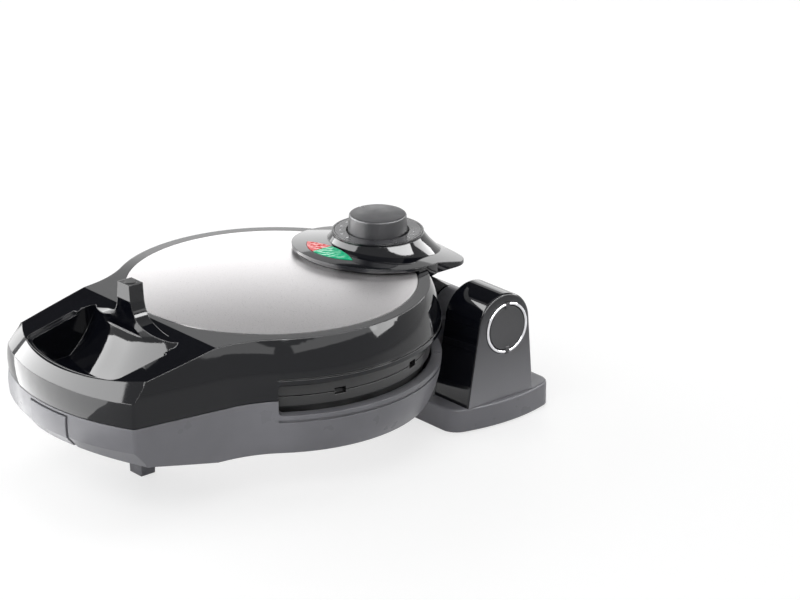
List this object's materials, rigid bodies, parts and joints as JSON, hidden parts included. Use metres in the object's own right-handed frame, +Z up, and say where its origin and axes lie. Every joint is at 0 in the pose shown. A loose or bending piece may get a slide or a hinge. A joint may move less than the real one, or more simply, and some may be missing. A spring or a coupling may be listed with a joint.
{
  "type": "rotating waffle maker",
  "caption": "Round electric waffle maker whose closed body turns end over end on a two-tower stand, with a hinged lid, domed steel discs, a dial and a latch.",
  "frame": {"origin": "centre of the overall box's bottom, on the table", "axes": "+X from the handle towards the stand, +Y along the pivot axis towards the rear tower, +Z up"},
  "size_m": [0.3597, 0.2268, 0.136],
  "materials": {
    "gloss_black": "gloss moulded, near black",
    "satin_black": "satin moulded, dark grey black",
    "bottom_plate": "matt moulded",
    "rubber": "matt",
    "steel": "plain machined",
    "brushed_disc": "fine straight brushing",
    "chrome_trim": "bright plated",
    "coated_plate": "cast, dark non-stick coating",
    "element": "dull sheath",
    "reflector": "bright rolled sheet",
    "bearing_plastic": "satin",
    "white_plastic": "moulded",
    "moulded_body": "moulded, dark brown",
    "fuse_can": "plain can",
    "dial_print": "satin, with pale marks",
    "knob_plastic": "fine matt, charcoal",
    "brass_spindle": "turned",
    "brass_blade": "rolled strip",
    "red_lens": "clear red lens",
    "green_lens": "clear green lens"
  },
  "bodies": {
    "stand": {"base_shell": "satin_black", "base_plate": "bottom_plate", "rubber_feet": "rubber", "base_screws": "steel", "tower_screws": "steel", "terminal_block": "white_plastic", "cord_gland": "rubber", "front_tower": "gloss_black", "rear_tower": "gloss_black", "front_bush": "bearing_plastic", "rear_bush": "bearing_plastic", "front_cap": "gloss_black", "rear_cap": "gloss_black", "trim_rings": "chrome_trim"},
    "lower_half": {"lower_shell": "satin_black", "lower_disc": "brushed_disc", "lower_hinge_cover": "gloss_black", "lower_lamp": "green_lens", "lower_plate": "coated_plate", "lower_heater": "element", "lower_reflector": "reflector", "lower_reflector_screws": "steel", "lower_cover_screws": "steel", "lower_post_plug": "rubber", "hinge_pin": "steel", "front_pivot": "bearing_plastic", "rear_pivot": "bearing_plastic", "pivot_clips": "steel", "latch_pin": "steel", "latch_springs": "steel"},
    "lid": {"upper_shell": "gloss_black", "upper_disc": "brushed_disc", "upper_hinge_cover": "gloss_black", "red_lamp": "red_lens", "green_lamp": "green_lens", "dial_ring": "dial_print", "upper_plate": "coated_plate", "upper_heater": "element", "upper_reflector": "reflector", "upper_reflector_screws": "steel", "upper_cover_screws": "steel", "upper_post_plug": "rubber", "thermostat": "moulded_body", "thermal_fuse": "fuse_can", "latch_strike": "steel"},
    "knob": {"knob": "knob_plastic", "knob_spindle": "brass_spindle"},
    "latch": {"latch": "satin_black"},
    "contact_blade": {"contact_blade": "brass_blade"}
  },
  "joints": [
    {"name": "flip", "type": "hinge", "parent": "stand", "child": "lower_half", "pos_m": [0.1346, 0, 0.068], "axis": [0, 1, 0], "range_deg": [0, 180]},
    {"name": "lid_hinge", "type": "hinge", "parent": "lower_half", "child": "lid", "pos_m": [0.1346, 0, 0.068], "axis": [0, -1, 0], "range_deg": [-100, 0]},
    {"name": "dial_turn", "type": "hinge", "parent": "lid", "child": "knob", "pos_m": [0.0966, 0, 0.12], "axis": [0, 0, 1], "range_deg": [0, 270]},
    {"name": "latch_rock", "type": "hinge", "parent": "lower_half", "child": "latch", "pos_m": [-0.1726, 0, 0.056], "axis": [0, -1, 0], "range_deg": [0, 4.8], "stiffness_Nm_per_rad": 0.05, "springref_deg": -5.73},
    {"name": "blade_rock", "type": "hinge", "parent": "lid", "child": "contact_blade", "pos_m": [0.0906, 0, 0.0983], "axis": [0, 1, 0], "range_deg": [-3, 3], "stiffness_Nm_per_rad": 0.01}
  ]
}
